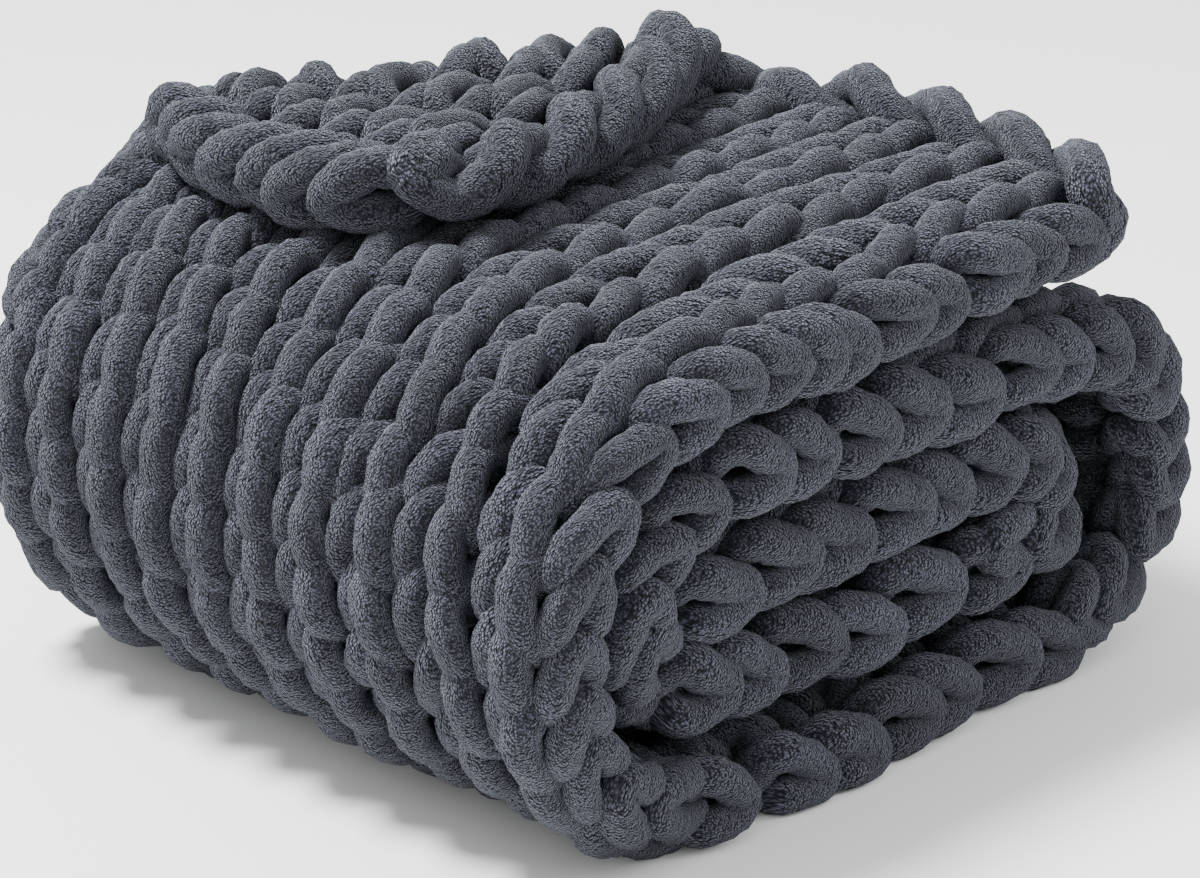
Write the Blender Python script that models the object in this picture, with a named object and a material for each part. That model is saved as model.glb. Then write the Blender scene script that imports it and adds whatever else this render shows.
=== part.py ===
"""Chunky knit blanket, folded into a compact bundle.

One strip of thick stockinette is folded over itself in five lays, and the far
corner of its free end is turned over on top, so that its purl side shows there.
The strip is made flat, as a slab of two grids, then folded along its path.
X runs across the folds, Y along them, and Z up from the surface it rests on.
"""

import math

import bmesh
import bpy
import numpy as np

# The knit: a wale is one column of stitches, running round the folds.
WALES = 11
FRONT_EDGE = -0.209
FRONT_WALE = 0.051  # width of the wale at the front edge
WALE_SHRINK = 0.00205  # each wale is this much narrower than the one in front
HALF_THICKNESS = 0.0228

# Relief of the wales on the knit side, and of the courses on the purl side.
# Each leg of a stitch rises and falls once a course.
RIB_COLUMNS = (
    # place in its wale, height, swing over a course
    (0.30, -0.0005, -0.0016),
    (0.72, 0.0030, 0.0016),
    (1.00, -0.0035, 0.0),
)
PURL_SWING = 0.0016
RIM_DROP = 0.009  # the knit curls towards its purl side along each edge
RIM_THINNING = 0.011

# The middle of the cloth, seen from the front, from the free end on top to the
# end of the strip inside the bundle. A lay is straight. A turn is half an oval
# that reaches out to its furthest x.
TOP_RIGHT = (0.240, 0.2520)
TOP_LEFT = (-0.112, 0.2430)
TOP_ROWS = 13
STRIP_RUNS = (
    # end x, end z, furthest x, rows, how far the side edges are drawn in
    (-0.129, 0.0245, -0.229, 14, 0.000),
    (0.141, 0.0245, None, 6, 0.004),
    (0.131, 0.1890, 0.231, 12, 0.004),
    (-0.119, 0.1875, None, 6, 0.006),
    (-0.119, 0.0800, -0.174, 8, 0.026),
    (0.115, 0.0795, None, 5, 0.008),
    (0.115, 0.1340, 0.146, 6, 0.008),
    (-0.122, 0.1335, None, 5, 0.028),
)

# The free end before its corner is turned over: it widens towards its edge.
END_EDGE = (
    # share of the way across the strip, x, y
    (0.00, 0.176, -0.209),
    (0.19, 0.218, -0.130),
    (0.31, 0.233, -0.078),
    (0.46, 0.229, -0.010),
    (0.58, 0.211, 0.052),
    (0.74, 0.155, 0.190),
    (0.88, 0.092, 0.289),
    (1.00, 0.011, 0.381),
)
CORNER_FROM = 0.6  # share of the way across the strip where its corner begins
CORNER_BULGE = (-0.025, 0.028)  # its side edge bows out by this much, x and y

# The line the corner is turned over, which bends away towards its left end.
TURN_RIGHT = (0.200, 0.045)
TURN_LEFT = (-0.150, 0.175)
TURN_RADIUS = 0.0235
TURN_RISE = 0.0025  # the turn is this much wider at its right end
TURN_RISE_LENGTH = 0.25
CORNER_THINNING = 0.008  # the turned corner lies looser, so it is thinner
CREASE_THINNING = 0.010  # the knit side is pressed thin where it is turned
CREASE_LEAD = 0.030  # the thinning starts this far before the turn
TURN_BENDS_FROM = 0.22
TURN_BEND = 1.28

FLAT_BELOW = 0.0250  # the lay with its middle below this rests on the surface
FLAT_WITHIN = 0.0012  # points this close to the surface lie on it
LEFT_SKEW = 0.04  # the left side leans outwards at the front and in at the back
FAR_END = 0.170  # from this y on, the bundle is rounded off
FAR_LENGTH = 0.070
FAR_ROUNDING = 0.09

YARN_COLOUR = (0.050, 0.053, 0.070, 1.0)
YARN_ROUGHNESS = 0.92


def clear_scene():
    for thing in list(bpy.data.objects):
        bpy.data.objects.remove(thing, do_unlink=True)


def make_material(name, colour, roughness):
    material = bpy.data.materials.new(name)
    material.use_nodes = True
    shader = material.node_tree.nodes["Principled BSDF"]
    shader.inputs["Base Color"].default_value = colour
    shader.inputs["Roughness"].default_value = roughness
    shader.inputs["Metallic"].default_value = 0.0
    return material


def column_table():
    """(y of the column, height, swing) from the front edge back."""
    edge = FRONT_EDGE
    columns = [(edge, RIB_COLUMNS[-1][1], 0.0)]
    for wale in range(WALES):
        width = FRONT_WALE - WALE_SHRINK * wale
        for place, height, swing in RIB_COLUMNS:
            columns.append((edge + place * width, height, swing))
        edge += width
    return columns


def run_points(start, run):
    """Points of one run after its start: (x, z), evenly spaced along it."""
    end_x, end_z, furthest_x, rows, _ = run
    points = []
    for row in range(1, rows + 1):
        share = row / rows
        x = start[0] + (end_x - start[0]) * share
        z = start[1] + (end_z - start[1]) * share
        if furthest_x is not None:
            middle_z = (start[1] + end_z) / 2
            x += (furthest_x - (start[0] + end_x) / 2) * math.sin(math.pi * share)
            z = middle_z + (start[1] - end_z) / 2 * math.cos(math.pi * share)
        points.append((x, z))
    return points


class Path:
    """The middle of the cloth by its length from the left end of the top lay.

    Lengths on the top lay are above zero, and those on the rest below it.
    """

    def __init__(self):
        places = [TOP_LEFT]
        insets = [0.0]
        for run in STRIP_RUNS:
            points = run_points(places[-1], run)
            before = insets[-1]
            for number in range(1, len(points) + 1):
                insets.append(before + (run[4] - before) * number / len(points))
            places += points
        steps = np.hypot(*np.diff(np.array(places), axis=0).T)
        lengths = -np.concatenate([[0.0], np.cumsum(steps)])
        self.row_lengths = lengths
        self.insets = insets
        top_length = math.dist(TOP_LEFT, TOP_RIGHT)
        self.lengths = np.concatenate([lengths[::-1], [top_length]])
        self.places = np.array(places[::-1] + [TOP_RIGHT])

    def place(self, length):
        x = np.interp(length, self.lengths, self.places[:, 0])
        z = np.interp(length, self.lengths, self.places[:, 1])
        return x, z

    def frame(self, length):
        """(x, z) of the place, the way to the free end, and the knit side."""
        step = 0.010
        x, z = self.place(length)
        before = self.place(max(length - step, self.lengths[0]))
        after = self.place(min(length + step, self.lengths[-1]))
        way_x = after[0] - before[0]
        way_z = after[1] - before[1]
        size = math.hypot(way_x, way_z)
        way = (way_x / size, way_z / size)
        return (x, z), way, (-way[1], way[0])


def end_place(across):
    """Where the end edge is before its corner is turned over: (length, y)."""
    shares, xs, ys = zip(*END_EDGE)
    x = np.interp(across, shares, xs)
    return x - TOP_LEFT[0], np.interp(across, shares, ys)


def top_place(part, across, y):
    """(length, y) of a point of the top lay, part of the way to its end edge."""
    end_length, end_y = end_place(across)
    corner = max(0.0, (across - CORNER_FROM) / (1 - CORNER_FROM)) ** 2
    bow = corner * math.sin(math.pi * part)
    length = part * end_length + bow * CORNER_BULGE[0]
    return length, y + part * (end_y - y) + bow * CORNER_BULGE[1]


def turn_corner(length, y):
    """Turns the corner over: new (length, y), height, angle, way across, pressing."""
    right = (TURN_RIGHT[0] - TOP_LEFT[0], TURN_RIGHT[1])
    left = (TURN_LEFT[0] - TOP_LEFT[0], TURN_LEFT[1])
    size = math.dist(right, left)
    along_way = ((left[0] - right[0]) / size, (left[1] - right[1]) / size)
    across_way = (along_way[1], -along_way[0])
    offset = (length - right[0], y - right[1])
    along = offset[0] * along_way[0] + offset[1] * along_way[1]
    beyond = offset[0] * across_way[0] + offset[1] * across_way[1]
    beyond -= TURN_BEND * max(0.0, along - TURN_BENDS_FROM) ** 2
    pressed = min(max(beyond / CREASE_LEAD + 1, 0.0), 1.0)
    pressed = pressed * pressed * (3 - 2 * pressed)
    if beyond <= 0:
        return length, y, 0.0, 0.0, across_way, pressed
    rise = min(max(1 - along / TURN_RISE_LENGTH, 0.0), 1.0)
    radius = TURN_RADIUS + TURN_RISE * rise * rise * (3 - 2 * rise)
    angle = min(beyond / radius, math.pi)
    reach = radius * math.sin(angle) - max(0.0, beyond - math.pi * radius)
    back = beyond - reach
    length -= back * across_way[0]
    y -= back * across_way[1]
    return length, y, radius * (1 - math.cos(angle)), angle, across_way, pressed


def flat_slab(row_count, column_count):
    """A flat slab of the cloth: a grid of unit squares, extruded by one."""
    slab = bmesh.new()
    bmesh.ops.create_grid(
        slab, x_segments=row_count - 1, y_segments=column_count - 1, size=0.5
    )
    for vertex in slab.verts:
        vertex.co.x = round((vertex.co.x + 0.5) * (row_count - 1))
        vertex.co.y = round((vertex.co.y + 0.5) * (column_count - 1))
    sheet = bmesh.ops.extrude_face_region(slab, geom=slab.faces[:])
    for item in sheet["geom"]:
        if isinstance(item, bmesh.types.BMVert):
            item.co.z = 1.0
    bmesh.ops.recalc_face_normals(slab, faces=slab.faces[:])
    return slab


def round_far_end(x, y, z):
    """The bundle leans, and its far end is rounded off."""
    past = max(0.0, y - FAR_END) / FAR_LENGTH
    x += LEFT_SKEW * y * max(-x, 0.0) / abs(FRONT_EDGE)
    return x * (1 - FAR_ROUNDING * past * past), y, z


def cloth_point(path, row, column, knit_side, rim, columns):
    """Where a point of the slab is in the folded blanket."""
    near = columns[0][0]
    far = columns[-1][0]
    y, height, swing = columns[column]
    angle = 0.0
    lift = 0.0
    pressed = 0.0
    across_way = (0.0, 1.0)
    if row < TOP_ROWS:
        part = 1 - row / TOP_ROWS
        length, y = top_place(part, (y - near) / (far - near), y)
    else:
        length = path.row_lengths[row - TOP_ROWS]
        middle = (near + far) / 2
        inset = path.insets[row - TOP_ROWS]
        y = middle + (y - middle) * (1 - 2 * inset / (far - near))
    if row < TOP_ROWS + STRIP_RUNS[0][3] // 2:
        length, y, lift, angle, across_way, pressed = turn_corner(length, y)
    (x, z), way, out = path.frame(length)
    turn = 1 if row % 2 else -1
    if knit_side:
        relief = 0.0 if z < FLAT_BELOW else height + swing * turn - rim * RIM_DROP
        away = HALF_THICKNESS + relief - CREASE_THINNING * pressed
    else:
        away = -HALF_THICKNESS + PURL_SWING * turn + rim * RIM_THINNING
        away += CORNER_THINNING * (1 - math.cos(angle)) / 2
    leaning = -math.sin(angle) * away
    upright = math.cos(angle) * away + lift
    x += leaning * across_way[0] * way[0] + upright * out[0]
    z += leaning * across_way[0] * way[1] + upright * out[1]
    return round_far_end(x, y + leaning * across_way[1], z)


def is_rim(vertex):
    """Whether a point of the slab lies on one of its edges."""
    return any(abs(face.normal.z) < 0.5 for face in vertex.link_faces)


def set_down(slab):
    """Sets the blanket down on the surface, with its middle over the origin."""
    places = np.array([vertex.co for vertex in slab.verts])
    low = places.min(axis=0)
    high = places.max(axis=0)
    middle = (low + high) / 2
    for vertex in slab.verts:
        vertex.co.x -= middle[0]
        vertex.co.y -= middle[1]
        vertex.co.z -= low[2]
        if vertex.co.z < FLAT_WITHIN:
            vertex.co.z = 0.0


def build_blanket():
    path = Path()
    columns = column_table()
    slab = flat_slab(TOP_ROWS + len(path.row_lengths), len(columns))
    slab.normal_update()
    rims = {vertex: is_rim(vertex) for vertex in slab.verts}
    for vertex, rim in rims.items():
        row = round(vertex.co.x)
        column = round(vertex.co.y)
        knit_side = vertex.co.z > 0.5
        vertex.co = cloth_point(path, row, column, knit_side, rim, columns)
    set_down(slab)
    if slab.calc_volume(signed=True) < 0:
        bmesh.ops.reverse_faces(slab, faces=slab.faces[:])
    mesh = bpy.data.meshes.new("blanket")
    slab.to_mesh(mesh)
    slab.free()
    mesh.shade_smooth()
    return bpy.data.objects.new("blanket", mesh)


def main():
    clear_scene()
    collection = bpy.data.collections.new("chunky_knit_blanket")
    bpy.context.scene.collection.children.link(collection)
    blanket = build_blanket()
    yarn = make_material("chenille_yarn", YARN_COLOUR, YARN_ROUGHNESS)
    blanket.data.materials.append(yarn)
    collection.objects.link(blanket)


main()
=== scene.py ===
import math

import bpy
import numpy as np
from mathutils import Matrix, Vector


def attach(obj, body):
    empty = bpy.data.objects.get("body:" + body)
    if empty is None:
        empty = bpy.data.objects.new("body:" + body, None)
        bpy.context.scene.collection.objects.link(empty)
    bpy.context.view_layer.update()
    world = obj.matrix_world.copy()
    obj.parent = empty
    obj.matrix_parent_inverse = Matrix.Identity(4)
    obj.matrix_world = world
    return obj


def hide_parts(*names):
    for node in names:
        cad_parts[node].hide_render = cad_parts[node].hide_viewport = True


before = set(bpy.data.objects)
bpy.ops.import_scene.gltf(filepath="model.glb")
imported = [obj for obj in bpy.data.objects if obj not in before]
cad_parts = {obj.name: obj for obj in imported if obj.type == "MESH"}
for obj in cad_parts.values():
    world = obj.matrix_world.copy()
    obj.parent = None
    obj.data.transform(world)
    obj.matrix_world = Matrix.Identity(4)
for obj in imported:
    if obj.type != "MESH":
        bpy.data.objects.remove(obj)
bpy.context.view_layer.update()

# All sizes are in metres. A wale is one column of stitches and runs round the folds.
# A course is one row of stitches and runs along them. A place in the knit is given by
# course, wale or y, and height over the middle of the cloth.

# The cloth laid flat: its side edges, and where the wales lie between them.
NEAR = -0.209
FAR = 0.23925
WIDTH = FAR - NEAR
WALE_LINES = (
    # wale, y
    (1.40, -0.1960),
    (1.75, -0.1790),
    (2.75, -0.1220),
    (3.75, -0.0710),
    (4.75, -0.0260),
    (5.75, 0.0160),
    (6.75, 0.0570),
    (7.75, 0.0970),
    (8.75, 0.1360),
    (9.75, 0.1740),
    (10.75, 0.2110),
    (11.20, 0.2270),
)
FIRST_WALE = 1.5
LAST_WALE = 11.0
# How many courses there are on top, from its left end to the free end.
TOP_COURSES = 9.0
# How many courses there are in each run of the strip, from the top lay inwards.
COURSES_IN_RUN = (10.5, 6.3, 8.9, 6.4, 4.8, 6.0, 2.8, 6.1)
# How far the knit goes on past the last of those runs: courses, and length of each.
INNER_END = 0.30
INNER_PITCH = 0.039

# The wales lean along the folds: how far they move, by length of cloth.
SHEAR_LENGTHS = (-0.60, -0.34, -0.20, -0.10, 0.02, 0.20, 0.352)
SHEAR_SHIFTS = (0.0, -0.018, -0.015, 0.0, 0.021, 0.020, 0.016)
SHEAR_TAPER = 0.085

# The cloth is a little uneven: size, change per course, change per metre, start.
UNEVEN_COURSE = ((0.14, 0.55, 21.0, 0.7), (0.10, -0.80, 37.0, 2.1))
UNEVEN_Y = ((0.0020, 0.90, 14.0, 0.0), (0.0013, 1.70, -23.0, 1.3))
UNEVEN_HEIGHT = ((0.0014, 0.70, 17.0, 0.4), (0.0010, -1.40, 31.0, 2.6))

# The yarn: its radius, the facets round it, how lumpy it is, and the shares of the
# radius at its first and last points.
YARN = 0.0098
SIDES = 14
LUMPS = 0.026
TIP = (0.45, 0.78, 0.94)
# How its radius and its tint vary along it: size, and span in points.
RADIUS_NOISE = (0.042, 9)
TINT_NOISE = (0.16, 22)
TINT = 0.5
TINT_JITTER = 0.10
# Painted crease shade: the pile that lies deep behind the legs is painted darker, and the
# proud legs a
# little lighter: limits of the depth as a share of DEPTH, and how much.
PAINTED_CREASE_SHADE_LIMITS = (-0.1, 1.7)
PAINTED_CREASE_SHADE = 0.50
# The middle of the yarn lies no lower than this over the floor.
LOWEST_MIDDLE = 0.0075

# The distance between points along the yarn.
SPACING = 0.0042
FEWEST_POINTS = 8
# It is larger by a factor in the courses further in than a length, between two y.
HIDDEN_LENGTH = -0.90
HIDDEN_FROM = -0.12
HIDDEN_TO = 0.12
COARSER = 2.2

# One stitch: points along it, how far its loop rises and leans, how far its legs lie in
# front of the cloth's middle and its ends behind it, and how squarely they change over.
ROUNDS = 36
LOOP_RISE = 0.93
LOOP_SKEW = 0.10
DEPTH = 0.0100
FLATNESS = 1.35
# How far one leg of a stitch stands out and the other lies back, how far the low leg is
# moved to the near edge (in wales), how much a leg rises towards the free end, so that
# it overlaps the next, and how narrow a loop's neck is: all by course.
RELIEF_COURSES = (-40.0, -12.5, -9.5, -1.5, 1.5, 9.0)
PROMINENT = (0.0050, 0.0052, 0.0056, 0.0054, 0.0026, 0.0026)
GATHER = (0.0, 0.0, -0.15, -0.14, -0.09, -0.08)
SHINGLE = (0.0040, 0.0040, 0.0040, 0.0045, 0.0100, 0.0100)
NECK = (0.20, 0.16, 0.155, 0.16, 0.21, 0.21)
# The low legs are moved beyond this wale only, and fully after this many more.
GATHER_FROM = (2.4, 0.4)
# How uneven the stitches are: the neck and the rise of each one, as shares.
NECK_JITTER = 0.14
RISE_JITTER = 0.05
# How the yarn wanders along the courses, across them and in height: size, span in points.
COURSE_NOISE = (0.055, 18)
WALE_NOISE = (0.036, 16)
HEIGHT_NOISE = (0.0016, 14)
# The legs are a little fuller than the loop's ends.
LEG_FULLNESS = 0.05
# The first rope stands out more (wale, width, height), and the leg beside it is fuller
# (wale, width, share).
FIRST_ROPE = (1.75, 0.33, 0.0035)
SECOND_LEG = (2.25, 0.24, 0.30)

# The yarn of each course where it ends at a side edge: course, inwards, height.
EDGE_LINE = (
    (0.70, 0.0300, -0.0060),
    (0.30, 0.0270, -0.0130),
    (-0.28, 0.0190, -0.0145),
    (0.05, 0.0115, -0.0148),
    (0.45, 0.0090, -0.0118),
    (0.74, 0.0085, -0.0060),
    (0.58, 0.0088, 0.0000),
    (0.26, 0.0100, 0.0048),
    (-0.10, 0.0135, 0.0085),
    (-0.42, 0.0200, 0.0062),
    (-0.58, 0.0290, -0.0030),
)
LEAST_INWARDS = 0.0085
# The stitches stop this many points before the edges, and curves lead on from there.
EDGE_TRIM = 5
EDGE_STEPS = 8
# How uneven the edge's loops are: single points, and whole loops.
EDGE_JITTER = (0.035, 0.0007, 0.0007)
LOOP_JITTER = (0.11, 0.0012, 0.0013)
EDGE_THICKNESS = 1.06
LOOP_THICKNESS_JITTER = 0.05
# Inside the bundle, below this course, the loops are taller (above and below the
# middle), shorter and fuller.
INNER_COURSES = -10.0
INNER_HEIGHT = (1.45, 1.05)
INNER_JITTER = (0.20, 0.0020, 0.0024)
INNER_LENGTH = 0.80
INNER_THICKNESS = 1.14
# Along the turned corner the loops are a little shorter, and fuller.
CORNER_LOOP = 0.88
CORNER_LOOP_THICKNESS = 1.14
# Between these courses the edge's loops lie the other way up.
OTHER_WAY_UP = ((-17.2, -10.0), (-42.6, -36.6))

# The cast-off chain along the free end: two strands that cross at each of its stitches.
CHAIN_COURSE = 8.3
CHAIN_WALES = (1.30, 11.15)
CHAIN_POINTS = 400
CHAIN_THICKNESS = 1.22
# The length of one turn, and how far a strand swings: along the courses, in height.
CHAIN_TURN_LENGTH = 0.110
CHAIN_SWING = (0.0105, 0.0118)
# It lies higher up to a wale, less and less over the last wales before it.
CHAIN_RAISED = 0.0130
CHAIN_RAISED_TO = 7.0
CHAIN_RAISED_TAPER = 2.0
# Where the free end is turned over it is raised as well (wale, width, height), so that
# it lies further in, and its strands lie closer together (wale, width, share).
CHAIN_TURN = (7.0, 1.2, 0.0060)
CHAIN_DRAWN_IN = (6.7, 0.9, 0.50)
# Beyond this wale its strands cross the other way, after a change of this width.
CHAIN_CROSSES_OVER = (6.6, 0.5)
# How its ends are tucked in: course, inwards, height.
CHAIN_END = ((-0.80, 0.034, -0.008), (-0.40, 0.016, -0.012), (-0.05, 0.011, -0.004))
# The strands stop this many points before the ends, and curves lead on from there.
CHAIN_TRIM = 4
CHAIN_STEPS = 12
# The last course's loops reach this many courses short of the chain's middle.
CHAIN_GAP = 0.08

# The middle of the cloth, the same path as the solid's: x and z.
TOP_RIGHT = (0.240, 0.2520)
TOP_LEFT = (-0.112, 0.2430)
STRIP_RUNS = (
    # end x, end z, furthest x, rows, how far the side edges are drawn in
    (-0.129, 0.0245, -0.229, 14, 0.000),
    (0.141, 0.0245, None, 6, 0.004),
    (0.131, 0.1890, 0.231, 12, 0.004),
    (-0.119, 0.1875, None, 6, 0.006),
    (-0.119, 0.0800, -0.174, 8, 0.018),
    (0.115, 0.0795, None, 5, 0.008),
    (0.115, 0.1340, 0.146, 6, 0.008),
    (-0.122, 0.1335, None, 5, 0.020),
)
POINTS_PER_ROW = 10
# The direction of the path is taken between points this far before and after.
WAY_STEP = 0.010

# The free end before its corner is turned over: it widens towards its edge.
END_EDGE = (
    # share of the way across the strip, x, y
    (0.00, 0.176, -0.209),
    (0.19, 0.218, -0.130),
    (0.31, 0.233, -0.078),
    (0.46, 0.229, -0.010),
    (0.58, 0.211, 0.052),
    (0.74, 0.155, 0.190),
    (0.88, 0.092, 0.289),
    (1.00, 0.011, 0.381),
)
# How slowly the widening starts, as a share of the way to the edge.
WIDENING_START = 0.12
# Its far part bulges between the left turn and the edge: from this share on, x and y.
CORNER_FROM = 0.6
CORNER_BULGE = (-0.025, 0.028)

# The corner is turned over along a line from right to left (x and y), which bends
# outwards from this far along it. Only the cloth beyond a length is turned.
TURN_RIGHT = (0.200, 0.045)
TURN_LEFT = (-0.150, 0.175)
TURN_BENDS_FROM = 0.22
TURN_BEND = 1.28
TURN_FROM_LENGTH = -0.21
# The radius of the turn, which is larger at the right, over this much of the line.
TURN_RADIUS = 0.0235
TURN_RISE = 0.0025
TURN_RISE_LENGTH = 0.25

# The bundle as a whole: its left half leans with y, and its far end is narrower.
LEFT_SKEW = 0.04
FAR_END = 0.170
FAR_LENGTH = 0.070
FAR_ROUNDING = 0.09
# The part's origin in the path's own places: the middle of the solid's footprint.
MIDDLE = (-0.00224471, 0.01801046, 0.0017)

# The yarn's pile: tufts and clumps per metre, how much lower a tuft's rim is, and the
# height of it all.
TUFTS_SCALE = 960.0
CLUMPS_SCALE = 260.0
TUFT_DEPTH = -0.75
PILE_RELIEF = 0.0042
# How much the yarn's tint, which carries its painted crease shade, and each tuft's own change
# the shade.
TINT_AND_PAINTED_SHADE_SHARE = 0.35
TUFT_SHARE = 0.20
# Painted shade on the pile: a tuft's middle is painted lighter and its rim, where the tufts
# meet, darker: distance in tufts, shade.
PAINTED_TUFT_MIDDLE_LIGHT = (0.10, 0.70)
PAINTED_TUFT_RIM_SHADE = (0.70, -0.44)
YARN_COLOURS = (
    # shade, colour
    (0.0, (0.0040, 0.0041, 0.0068, 1.0)),
    (0.45, (0.0216, 0.0219, 0.0346, 1.0)),
    (1.0, (0.130, 0.132, 0.199, 1.0)),
)
SHEEN_COLOUR = (0.75, 0.80, 0.90, 1.0)

# The studio.
FLOOR_SIZE = 30.0
FLOOR_TOP = -0.0005
FLOOR_COLOUR = (0.96, 0.96, 0.96, 1.0)
SKY_COLOUR = (1.0, 1.0, 1.0, 1.0)
SKY_STRENGTH = 1.15
LIGHTS = (
    # name, place, aim, size, power
    ("key", (-0.72, 0.70, 2.42), (0.0, 0.0, 0.15), 0.8, 185.0),
    ("fill", (1.70, -1.70, 1.30), (0.1, -0.1, 0.10), 1.2, 30.0),
)
# The photograph's camera, in the path's own places.
CAMERA_PLACE = (-1.7216671, -1.6144072, 1.0471436)
CAMERA_WAY = (0.6789714, 0.6376277, -0.3639076)
CAMERA_SENSOR = 36.0
CAMERA_LENS = 144.0

PIECES = 5

rng = np.random.default_rng(7)


def smooth_noise(count, size, span):
    """Smooth random values, one per point, that change over a span of points."""
    knots = rng.normal(0.0, 1.0, int(count / span) + 3)
    return size * np.interp(np.arange(count) / span, np.arange(len(knots)), knots)


def smooth_curve(points, steps):
    """A Catmull-Rom curve through control points."""
    before = np.concatenate([[2 * points[0] - points[1]], points[:-1]])
    after = np.concatenate([points[1:], [2 * points[-1] - points[-2]]])
    slopes = (after - before) / 2
    share = np.linspace(0.0, 1.0, steps, endpoint=False)[:, None]
    parts = []
    for index in range(len(points) - 1):
        parts.append(
            points[index] * (2 * share**3 - 3 * share**2 + 1)
            + points[index + 1] * (3 * share**2 - 2 * share**3)
            + slopes[index] * (share**3 - 2 * share**2 + share)
            + slopes[index + 1] * (share**3 - share**2)
        )
    return np.concatenate(parts + [points[-1:]])


def lead_on(near, inner, far, steps):
    """The curves through the near points into a line, and out of it to the far ones."""
    near = smooth_curve(np.concatenate([near, inner[:2]]), steps)[:-steps]
    far = smooth_curve(np.concatenate([inner[-2:], far]), steps)[steps:]
    return near, far


def hump(wale, middle, width):
    """1 at the middle wale, and 0 well away from it."""
    return np.exp(-(((wale - middle) / width) ** 2))


def run_lengths(points):
    """How far along a line each of its points lies."""
    steps = np.linalg.norm(np.diff(points, axis=0), axis=1)
    return np.concatenate([[0.0], np.cumsum(steps)])


def path_tables():
    """The path from its inner end to the free end: lengths, places, and insets."""
    places = [TOP_LEFT]
    insets = [0.0]
    for end_x, end_z, furthest_x, rows, inset in STRIP_RUNS:
        start_x, start_z = places[-1]
        before = insets[-1]
        for point in range(1, rows * POINTS_PER_ROW + 1):
            share = point / (rows * POINTS_PER_ROW)
            x = start_x + (end_x - start_x) * share
            z = start_z + (end_z - start_z) * share
            if furthest_x is not None:
                x += (furthest_x - (start_x + end_x) / 2) * math.sin(math.pi * share)
                z = (start_z + end_z) / 2 + (start_z - end_z) / 2 * math.cos(math.pi * share)
            places.append((x, z))
            insets.append(before + (inset - before) * share)
    lengths = -run_lengths(np.array(places))[::-1]
    lengths = np.concatenate([lengths, [math.dist(TOP_LEFT, TOP_RIGHT)]])
    places = np.concatenate([places[::-1], [TOP_RIGHT]])
    insets = np.concatenate([insets[::-1], [0.0]])
    return lengths, places, insets


def course_table():
    """The course at the end of each run of the strip, and the length there."""
    ends = np.cumsum([rows * POINTS_PER_ROW for *_, rows, _ in STRIP_RUNS])
    lengths = LENGTHS[::-1][1:][ends]
    courses = -np.cumsum(COURSES_IN_RUN)
    return np.concatenate([courses[::-1], [0.0]]), np.concatenate([lengths[::-1], [0.0]])


LENGTHS, PLACES, INSETS = path_tables()
RUN_COURSES, RUN_LENGTHS = course_table()


def path_place(length):
    """x and z of the middle of the cloth at a length from the top lay's left end."""
    x = np.interp(length, LENGTHS, PLACES[:, 0]) + np.minimum(length - LENGTHS[0], 0.0)
    return x, np.interp(length, LENGTHS, PLACES[:, 1])


def path_way(length):
    """The direction of the path there: x and z."""
    before_x, before_z = path_place(length - WAY_STEP)
    after_x, after_z = path_place(length + WAY_STEP)
    way_x, way_z = after_x - before_x, after_z - before_z
    size = np.maximum(np.hypot(way_x, way_z), 1e-9)
    return way_x / size, way_z / size


def end_edge(across):
    """The free end's edge at a share of the way across: its length, and its y."""
    shares, xs, ys = zip(*END_EDGE)
    return np.interp(across, shares, xs) - TOP_LEFT[0], np.interp(across, shares, ys)


def ripple(waves, course, y):
    """The sum of a few waves that run along and across the cloth."""
    total = 0.0
    for size, per_course, per_metre, start in waves:
        total = total + size * np.sin(per_course * course + per_metre * y + start)
    return total


def lay_flat(course, y0):
    """Length and y in the spread cloth of a point of the knit."""
    shift = ripple(UNEVEN_Y, course, y0)
    course = course + ripple(UNEVEN_COURSE, course, y0)
    across = (y0 - NEAR) / WIDTH
    part = np.maximum(course, 0.0) / TOP_COURSES
    end_length, end_y = end_edge(across)
    widening = part * part / (part + WIDENING_START) * (1 + WIDENING_START)
    corner = np.maximum(0.0, (across - CORNER_FROM) / (1 - CORNER_FROM)) ** 2
    bow = corner * np.sin(math.pi * np.minimum(part, 1.0))
    strip = np.interp(course, RUN_COURSES, RUN_LENGTHS)
    strip = strip + np.minimum(course - RUN_COURSES[0], 0.0) * INNER_PITCH
    length = part * end_length + bow * CORNER_BULGE[0] + strip
    inset = np.interp(length, LENGTHS, INSETS)
    middle = (NEAR + FAR) / 2
    strip_y = middle + (y0 - middle) * (1 - 2 * inset / WIDTH)
    top_y = y0 + widening * (end_y - y0) + bow * CORNER_BULGE[1]
    y = np.where(course > 0, top_y, strip_y)
    edge = np.clip(np.minimum(y0 - NEAR, FAR - y0) / SHEAR_TAPER, 0.0, 1.0)
    return length, y + (np.interp(length, SHEAR_LENGTHS, SHEAR_SHIFTS) + shift) * edge


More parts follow.
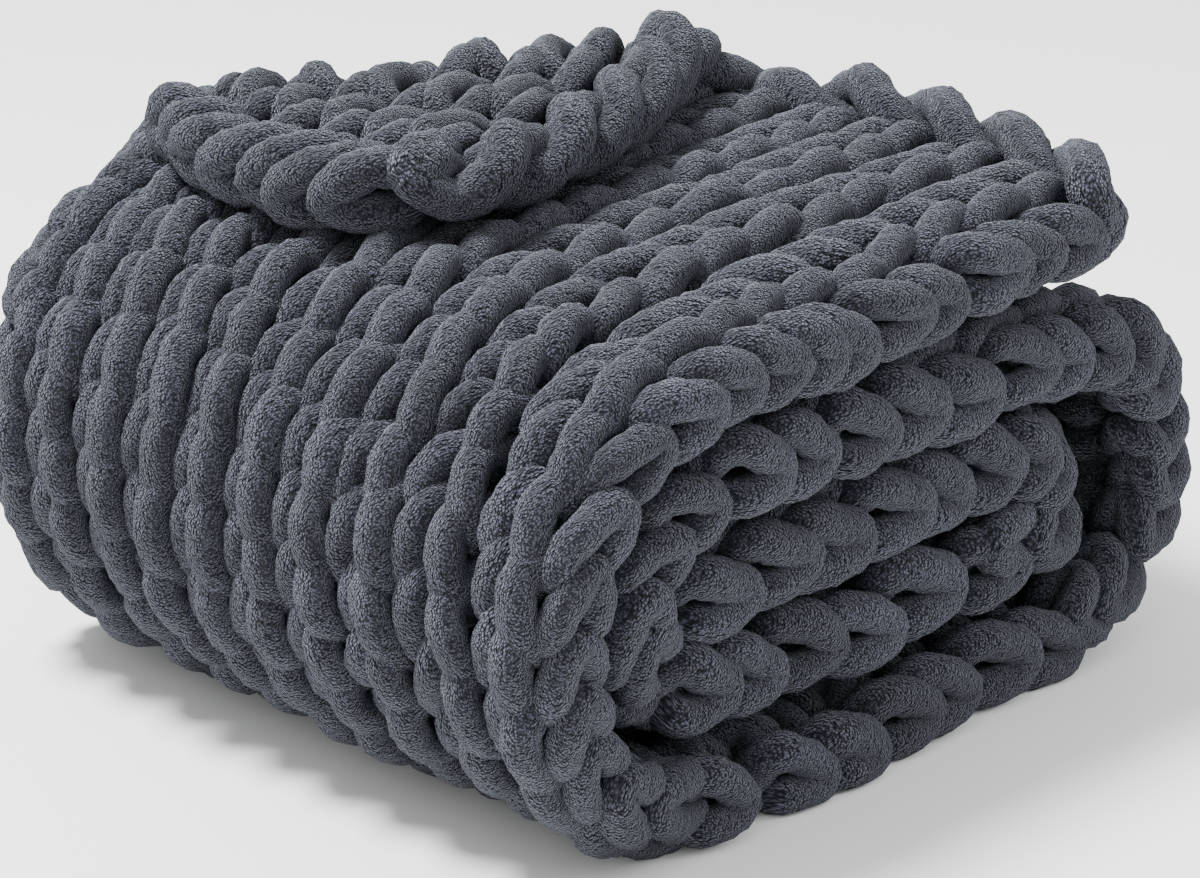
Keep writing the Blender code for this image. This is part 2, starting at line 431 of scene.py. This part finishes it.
def turn_corner(length, y):
    """Turns the corner over: new length and y, lift, angle, and the way it turns."""
    size = math.dist(TURN_RIGHT, TURN_LEFT)
    line_x = (TURN_LEFT[0] - TURN_RIGHT[0]) / size
    line_y = (TURN_LEFT[1] - TURN_RIGHT[1]) / size
    out_x, out_y = line_y, -line_x
    from_x = length + TOP_LEFT[0] - TURN_RIGHT[0]
    from_y = y - TURN_RIGHT[1]
    along = from_x * line_x + from_y * line_y
    beyond = from_x * out_x + from_y * out_y
    beyond = beyond - TURN_BEND * np.maximum(0.0, along - TURN_BENDS_FROM) ** 2
    beyond = np.where(length > TURN_FROM_LENGTH, np.maximum(beyond, 0.0), 0.0)
    rise = np.clip(1 - along / TURN_RISE_LENGTH, 0.0, 1.0)
    radius = TURN_RADIUS + TURN_RISE * rise * rise * (3 - 2 * rise)
    angle = np.minimum(beyond / radius, math.pi)
    reach = radius * np.sin(angle) - np.maximum(0.0, beyond - math.pi * radius)
    back = beyond - reach
    lift = radius * (1 - np.cos(angle))
    return length - back * out_x, y - back * out_y, lift, angle, (out_x, out_y)


def lay_out(course, y0, height):
    """Place in the bundle of points of the knit: N by 3."""
    height = height + ripple(UNEVEN_HEIGHT, course, y0)
    length, y, lift, angle, (out_x, out_y) = turn_corner(*lay_flat(course, y0))
    x, z = path_place(length)
    way_x, way_z = path_way(length)
    leaning = -np.sin(angle) * height
    upright = np.cos(angle) * height + lift
    x = x + leaning * out_x * way_x - upright * way_z
    z = z + leaning * out_x * way_z + upright * way_x
    y = y + leaning * out_y
    past = np.maximum(0.0, y - FAR_END) / FAR_LENGTH
    x = x + LEFT_SKEW * y * np.maximum(-x, 0.0) / abs(NEAR)
    x = x * (1 - FAR_ROUNDING * past * past)
    return np.stack([x - MIDDLE[0], y - MIDDLE[1], z - MIDDLE[2]], axis=1)


def edge_line(course, edge_y, inwards, flipped):
    """Where one course's yarn turns back at a side edge: course, y, height."""
    line = np.array(EDGE_LINE)
    line += rng.normal(0.0, 1.0, line.shape) * EDGE_JITTER
    inner = course < INNER_COURSES
    line += rng.normal(0.0, 1.0, 3) * (INNER_JITTER if inner else LOOP_JITTER)
    line[:, 1] = np.maximum(line[:, 1], LEAST_INWARDS)
    if inner:
        line[:, 2] *= np.where(line[:, 2] > 0.0, *INNER_HEIGHT)
        line[:, 0] *= INNER_LENGTH
    if flipped:
        line *= (-1.0, 1.0, -1.0)
    line[:, 0] += course
    line[:, 1] = edge_y + inwards * line[:, 1]
    return line


def stitch_line(course, wale):
    """The stitches of one course between the edges: course, y, height."""
    angle = 2 * math.pi * wale
    stitch = wale.astype(int)
    uneven_neck, uneven_rise = rng.normal(0.0, 1.0, (2, int(LAST_WALE) + 2))
    neck = np.interp(course, RELIEF_COURSES, NECK) * (1 + NECK_JITTER * uneven_neck[stitch])
    uneven_rise = np.interp(wale, np.arange(len(uneven_rise)), uneven_rise)
    rise = LOOP_RISE * (1 + RISE_JITTER * uneven_rise)
    courses = course - rise * np.cos(angle) + smooth_noise(len(wale), *COURSE_NOISE)

    wales = wale + neck * np.sin(2 * angle) + LOOP_SKEW * rise * np.cos(angle)
    wales = wales + smooth_noise(len(wale), *WALE_NOISE)
    gathered = np.clip((wale - GATHER_FROM[0]) / GATHER_FROM[1], 0.0, 1.0)
    gather = np.interp(course, RELIEF_COURSES, GATHER) * gathered
    wales = wales - gather * np.maximum(np.sin(angle), 0.0)

    prominent = np.interp(course, RELIEF_COURSES, PROMINENT)
    shingle = np.interp(course, RELIEF_COURSES, SHINGLE)
    height = DEPTH * np.tanh(-FLATNESS * np.cos(2 * angle)) / math.tanh(FLATNESS)
    height = height - prominent * np.sin(angle)
    height = height - shingle * np.cos(angle) * np.sin(angle) ** 2
    height = height + smooth_noise(len(wale), *HEIGHT_NOISE)
    height = height + FIRST_ROPE[2] * hump(wale, *FIRST_ROPE[:2])
    return np.stack([courses, np.interp(wales, *zip(*WALE_LINES)), height], axis=1)


def course_line(course):
    """The yarn of one course, from edge to edge: its line, thickness, and the depth that sets
    its painted crease shade.
    """
    wale = np.linspace(FIRST_WALE, LAST_WALE, int((LAST_WALE - FIRST_WALE) * ROUNDS) + 1)
    inner = stitch_line(course, wale)[EDGE_TRIM:-EDGE_TRIM]

    flipped = any(low < course < high for low, high in OTHER_WAY_UP)
    near = edge_line(course, NEAR, 1.0, flipped)
    near = near if flipped else near[::-1]
    # On top, the far edge is the turned corner's.
    if course < 0.0:
        far = edge_line(course, FAR, -1.0, False)[::-1] * (1.0, 1.0, -1.0)
    else:
        far = edge_line(0.0, FAR, -1.0, True) * (CORNER_LOOP, 1.0, 1.0) + (course, 0.0, 0.0)
    near, far = lead_on(near, inner, far, EDGE_STEPS)

    legs = 1 + LEG_FULLNESS * np.abs(np.sin(2 * math.pi * wale))
    legs = (legs + SECOND_LEG[2] * hump(wale, *SECOND_LEG[:2]))[EDGE_TRIM:-EDGE_TRIM]
    near_thickness = INNER_THICKNESS if course < INNER_COURSES else EDGE_THICKNESS
    near_thickness *= 1 + LOOP_THICKNESS_JITTER * rng.normal()
    far_thickness = near_thickness if course < 0.0 else CORNER_LOOP_THICKNESS
    near_thick = np.full(len(near), near_thickness)
    far_thick = np.full(len(far), far_thickness)

    from_near = np.arange(len(inner))
    fade = np.clip(np.minimum(from_near, from_near[::-1]) / ROUNDS, 0.0, 1.0)
    # Painted crease shade: the deeper the yarn lies behind the legs, the darker it is painted,
    # and proud legs are painted a little lighter.
    painted_crease_depth = np.clip(-inner[:, 2] / DEPTH, *PAINTED_CREASE_SHADE_LIMITS) * fade
    return (
        np.concatenate([near, inner, far]),
        np.concatenate([near_thick, legs, far_thick]),
        np.concatenate([np.zeros(len(near)), painted_crease_depth, np.zeros(len(far))]),
    )


def chain_line(phase):
    """One strand of the cast-off chain, from edge to edge: course, y, height."""
    wale = np.linspace(*CHAIN_WALES, CHAIN_POINTS)
    y = np.interp(wale, *zip(*WALE_LINES))
    across = (y - NEAR) / WIDTH
    shares, *edge = zip(*END_EDGE)
    run = np.interp(across, shares, run_lengths(np.transpose(edge)))
    angle = 2 * math.pi * run / CHAIN_TURN_LENGTH + phase

    # How long one course is at each place along the chain, so that it swings evenly.
    part = CHAIN_COURSE / TOP_COURSES
    widening_rate = (part * part + 2 * WIDENING_START * part) / (part + WIDENING_START) ** 2
    widening_rate *= 1 + WIDENING_START
    end_length, end_y = end_edge(across)
    course_size = np.hypot(end_length, widening_rate * (end_y - y)) / TOP_COURSES
    drawn = 1 - CHAIN_DRAWN_IN[2] * hump(wale, *CHAIN_DRAWN_IN[:2])
    courses = CHAIN_COURSE + CHAIN_SWING[0] * drawn * np.cos(angle) / course_size

    raised = np.clip((CHAIN_RAISED_TO - wale) / CHAIN_RAISED_TAPER, 0.0, 1.0)
    turned = CHAIN_TURN[2] * hump(wale, *CHAIN_TURN[:2])
    hand = np.tanh((wale - CHAIN_CROSSES_OVER[0]) / CHAIN_CROSSES_OVER[1])
    height = CHAIN_SWING[1] * hand * np.sin(angle) + np.maximum(CHAIN_RAISED * raised, turned)
    inner = np.stack([courses, y, height], axis=1)[CHAIN_TRIM:-CHAIN_TRIM]

    near = np.array(CHAIN_END) + (CHAIN_COURSE, NEAR, 0.0)
    far = np.array(CHAIN_END)[::-1] * (1.0, -1.0, 1.0) + (CHAIN_COURSE, FAR, 0.0)
    near, far = lead_on(near, inner, far, CHAIN_STEPS)
    return np.concatenate([near, inner, far])


def spread(points, values, inside):
    """The same line with evenly spaced points, smoothed a little, and its values."""
    run = run_lengths(points)
    hidden = inside & (points[:, 1] > HIDDEN_FROM) & (points[:, 1] < HIDDEN_TO)
    weight = np.where(hidden, 1 / COARSER, 1.0) / SPACING
    steps = np.concatenate([[0.0], np.cumsum(np.diff(run) * weight[1:])])
    count = max(int(steps[-1]), FEWEST_POINTS)
    even = np.interp(np.linspace(0.0, steps[-1], count), steps, run)
    line = np.stack([np.interp(even, run, points[:, axis]) for axis in range(3)], axis=1)
    for _ in range(2):
        line[1:-1] = (line[:-2] + 2 * line[1:-1] + line[2:]) / 4
    return line, [np.interp(even, run, value) for value in values]


def sweep(points, radii, tints_and_painted_shade):
    """A closed tube: vertices, quads, caps, the yarn's own coordinates, and its tone values
    with painted shade.
    """
    count = len(points)
    ways = np.gradient(points, axis=0)
    ways /= np.linalg.norm(ways, axis=1)[:, None] + 1e-12
    # Each ring's side follows on from the one before, so that the tube doesn't twist.
    side = np.cross(ways[0], (0.0, 0.0, 1.0))
    if np.linalg.norm(side) < 0.1:
        side = np.cross(ways[0], (0.0, 1.0, 0.0))
    sides = []
    for way in ways:
        side = side - way * side.dot(way)
        side /= np.linalg.norm(side) + 1e-12
        sides.append(side)
    sides = np.array(sides)
    ups = np.cross(ways, sides)
    angles = np.linspace(0, 2 * math.pi, SIDES, endpoint=False)
    lumps = rng.normal(0.0, 1.0, (count, SIDES))
    lumps = lumps + np.roll(lumps, 1, axis=1) + np.roll(lumps, 1, axis=0)
    rings = radii[:, None] * (1 + LUMPS * lumps)
    offsets = (
        np.cos(angles)[None, :, None] * sides[:, None, :]
        + np.sin(angles)[None, :, None] * ups[:, None, :]
    )
    verts = (points[:, None, :] + rings[:, :, None] * offsets).reshape(-1, 3)
    verts = np.concatenate([verts, points[:1], points[-1:]])

    run = run_lengths(points)
    own_x = np.repeat(run, SIDES)
    own_y = np.tile(np.cos(angles) * YARN, count)
    own_z = np.tile(np.sin(angles) * YARN, count)
    own = np.stack([own_x, own_y, own_z], axis=1)
    own = np.concatenate([own, [[run[0], 0, 0]], [[run[-1], 0, 0]]])

    ring = np.arange(SIDES)
    after = (ring + 1) % SIDES
    quad = np.stack([ring, after, after + SIDES, ring + SIDES], axis=1)
    quads = np.concatenate([quad + row * SIDES for row in range(count - 1)])
    last = (count - 1) * SIDES
    first_tip = np.full(SIDES, count * SIDES)
    caps = np.stack([first_tip, after, ring], axis=1)
    caps = np.concatenate([caps, np.stack([first_tip + 1, last + ring, last + after], axis=1)])
    tints_and_painted_shade = np.concatenate([np.repeat(tints_and_painted_shade, SIDES), tints_and_painted_shade[:1], tints_and_painted_shade[-1:]])
    return verts, quads, caps, own, tints_and_painted_shade


def yarn_tube(line, thick, painted_crease_depth, inside=False):
    """The yarn along a line in the bundle: its thickness, and how deep it lies, which sets its
    painted crease shade.
    """
    line, (thick, painted_crease_depth) = spread(line, (thick, painted_crease_depth), inside)
    line[:, 2] = np.maximum(line[:, 2], LOWEST_MIDDLE)
    radii = YARN * thick * (1 + smooth_noise(len(line), *RADIUS_NOISE))
    radii[:len(TIP)] *= TIP
    radii[-len(TIP):] *= TIP[::-1]
    tints_and_painted_shade = TINT + smooth_noise(len(line), *TINT_NOISE)
    # Random tone along and per yarn, less the painted crease shade where it lies deep.
    tints_and_painted_shade = tints_and_painted_shade + TINT_JITTER * rng.normal() - PAINTED_CREASE_SHADE * painted_crease_depth
    return sweep(line, radii, tints_and_painted_shade)


def course_tubes():
    """One yarn for each course, from the chain inwards."""
    tubes = []
    course = CHAIN_COURSE - LOOP_RISE - CHAIN_GAP
    while course > RUN_COURSES[0] - INNER_END:
        line, thick, painted_crease_depth = course_line(course)
        inside = np.interp(course, RUN_COURSES, RUN_LENGTHS) < HIDDEN_LENGTH
        tubes.append(yarn_tube(lay_out(*line.T), thick, painted_crease_depth, inside))
        course -= 1.0
    return tubes


def chain_tubes():
    """The two strands of the chain."""
    tubes = []
    for phase in (0.0, math.pi):
        line = lay_out(*chain_line(phase).T)
        thick = np.full(len(line), CHAIN_THICKNESS)
        tubes.append(yarn_tube(line, thick, np.zeros(len(line))))
    return tubes


def add_attribute(mesh, name, kind, key, values):
    attribute = mesh.attributes.new(name, kind, "POINT")
    attribute.data.foreach_set(key, np.concatenate(values).astype(np.float32).ravel())


def add_piece(name, tubes, material):
    """One piece of the knit, from the tubes of several courses."""
    faces = []
    base = 0
    for verts, quads, caps, _, _ in tubes:
        faces += (quads + base).tolist() + (caps + base).tolist()
        base += len(verts)
    all_verts, _, _, owns, tints_and_painted_shade = zip(*tubes)
    verts = np.concatenate(all_verts)
    verts[:, 2] = np.maximum(verts[:, 2], 0.0)
    mesh = bpy.data.meshes.new(name)
    mesh.from_pydata(verts.tolist(), [], faces)
    add_attribute(mesh, "yarn", "FLOAT_VECTOR", "vector", owns)
    add_attribute(mesh, "tint_and_painted_shade", "FLOAT", "value", tints_and_painted_shade)
    mesh.shade_smooth()
    mesh.materials.append(material)
    piece = bpy.data.objects.new(name, mesh)
    bpy.context.scene.collection.objects.link(piece)
    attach(piece, "root")
    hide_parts("blanket")


def multiply_add(tree, value, factor, addend):
    """The output of a node that works out value times factor, plus addend."""
    node = tree.nodes.new("ShaderNodeMath")
    node.operation = "MULTIPLY_ADD"
    node.inputs[1].default_value = factor
    tree.links.new(value, node.inputs[0])
    tree.links.new(addend, node.inputs[2])
    return node.outputs["Value"]


def yarn_material():
    """Chenille: its pile is a bump, and a change of shade in the yarn's own coordinates that
    paints the tufts' middles lighter and their rims darker.
    """
    material = bpy.data.materials.new("chenille_yarn")
    material.use_nodes = True
    tree = material.node_tree
    nodes, links = tree.nodes, tree.links
    shader = nodes["Principled BSDF"]
    shader.inputs["Roughness"].default_value = 0.95
    shader.inputs["Specular IOR Level"].default_value = 0.10
    shader.inputs["Sheen Weight"].default_value = 0.27
    shader.inputs["Sheen Roughness"].default_value = 0.45
    shader.inputs["Sheen Tint"].default_value = SHEEN_COLOUR
    own = nodes.new("ShaderNodeAttribute")
    own.attribute_name = "yarn"
    tint_and_painted_shade = nodes.new("ShaderNodeAttribute")
    tint_and_painted_shade.attribute_name = "tint_and_painted_shade"

    tufts = nodes.new("ShaderNodeTexVoronoi")
    tufts.feature = "F1"
    tufts.inputs["Scale"].default_value = TUFTS_SCALE
    tufts.inputs["Randomness"].default_value = 1.0
    links.new(own.outputs["Vector"], tufts.inputs["Vector"])
    clumps = nodes.new("ShaderNodeTexNoise")
    clumps.inputs["Scale"].default_value = CLUMPS_SCALE
    clumps.inputs["Detail"].default_value = 3.0
    clumps.inputs["Roughness"].default_value = 0.6
    links.new(own.outputs["Vector"], clumps.inputs["Vector"])

    bump = nodes.new("ShaderNodeBump")
    bump.inputs["Strength"].default_value = 1.0
    bump.inputs["Distance"].default_value = PILE_RELIEF
    pile = multiply_add(tree, tufts.outputs["Distance"], TUFT_DEPTH, clumps.outputs["Fac"])
    links.new(pile, bump.inputs["Height"])
    links.new(bump.outputs["Normal"], shader.inputs["Normal"])

    # Painted shade on the pile: the shade is raised at each tuft's middle and lowered at its
    # rim. Each tuft's own random tone is added below.
    painted_tuft_shading = nodes.new("ShaderNodeMapRange")
    painted_tuft_shading.inputs["From Min"].default_value = PAINTED_TUFT_MIDDLE_LIGHT[0]
    painted_tuft_shading.inputs["To Min"].default_value = PAINTED_TUFT_MIDDLE_LIGHT[1]
    painted_tuft_shading.inputs["From Max"].default_value = PAINTED_TUFT_RIM_SHADE[0]
    painted_tuft_shading.inputs["To Max"].default_value = PAINTED_TUFT_RIM_SHADE[1]
    links.new(tufts.outputs["Distance"], painted_tuft_shading.inputs["Value"])
    each = nodes.new("ShaderNodeSeparateColor")
    links.new(tufts.outputs["Color"], each.inputs["Color"])
    # The tint attribute brings in the yarn's random tone and its painted crease shade.
    shade = multiply_add(tree, tint_and_painted_shade.outputs["Fac"], TINT_AND_PAINTED_SHADE_SHARE, painted_tuft_shading.outputs["Result"])
    shade = multiply_add(tree, each.outputs["Red"], TUFT_SHARE, shade)

    ramp = nodes.new("ShaderNodeValToRGB")
    ramp.color_ramp.elements.new(YARN_COLOURS[1][0])
    for element, (position, colour) in zip(ramp.color_ramp.elements, YARN_COLOURS):
        element.position = position
        element.color = colour
    links.new(shade, ramp.inputs["Fac"])
    links.new(ramp.outputs["Color"], shader.inputs["Base Color"])
    return material


def floor_material():
    material = bpy.data.materials.new("floor")
    material.use_nodes = True
    shader = material.node_tree.nodes["Principled BSDF"]
    shader.inputs["Base Color"].default_value = FLOOR_COLOUR
    shader.inputs["Roughness"].default_value = 0.85
    shader.inputs["Specular IOR Level"].default_value = 0.1
    return material


def build_knit():
    material = yarn_material()
    tubes = course_tubes() + chain_tubes()
    share = math.ceil(len(tubes) / PIECES)
    for number in range(PIECES):
        group = tubes[number * share:(number + 1) * share]
        add_piece(f"knit_{number + 1}", group, material)


def build_floor():
    half = FLOOR_SIZE / 2
    corners = ((-half, -half), (half, -half), (half, half), (-half, half))
    mesh = bpy.data.meshes.new("floor")
    mesh.from_pydata([(x, y, FLOOR_TOP) for x, y in corners], [], [(0, 1, 2, 3)])
    mesh.materials.append(floor_material())
    floor = bpy.data.objects.new("floor", mesh)
    bpy.context.scene.collection.objects.link(floor)


def add_looking(item, place, way):
    """Adds a light or a camera at a place, looking along a direction."""
    item.location = place
    item.rotation_mode = "QUATERNION"
    item.rotation_quaternion = way.to_track_quat("-Z", "Y")
    bpy.context.scene.collection.objects.link(item)


def build_lights():
    world = bpy.data.worlds.new("studio")
    world.use_nodes = True
    sky = world.node_tree.nodes["Background"]
    sky.inputs["Color"].default_value = SKY_COLOUR
    sky.inputs["Strength"].default_value = SKY_STRENGTH
    bpy.context.scene.world = world
    for name, place, aim, size, power in LIGHTS:
        light = bpy.data.lights.new(name, "AREA")
        light.shape = "DISK"
        light.size = size
        light.energy = power
        lamp = bpy.data.objects.new(name, light)
        add_looking(lamp, place, Vector(aim) - Vector(place))


def build_camera():
    data = bpy.data.cameras.new("camera")
    data.sensor_width = CAMERA_SENSOR
    data.lens = CAMERA_LENS
    data.clip_start = 0.05
    data.clip_end = 100.0
    camera = bpy.data.objects.new("camera", data)
    place = [along - middle for along, middle in zip(CAMERA_PLACE, MIDDLE)]
    add_looking(camera, place, Vector(CAMERA_WAY))
    bpy.context.scene.camera = camera


build_knit()
build_floor()
build_lights()
build_camera()

bpy.context.view_layer.update()
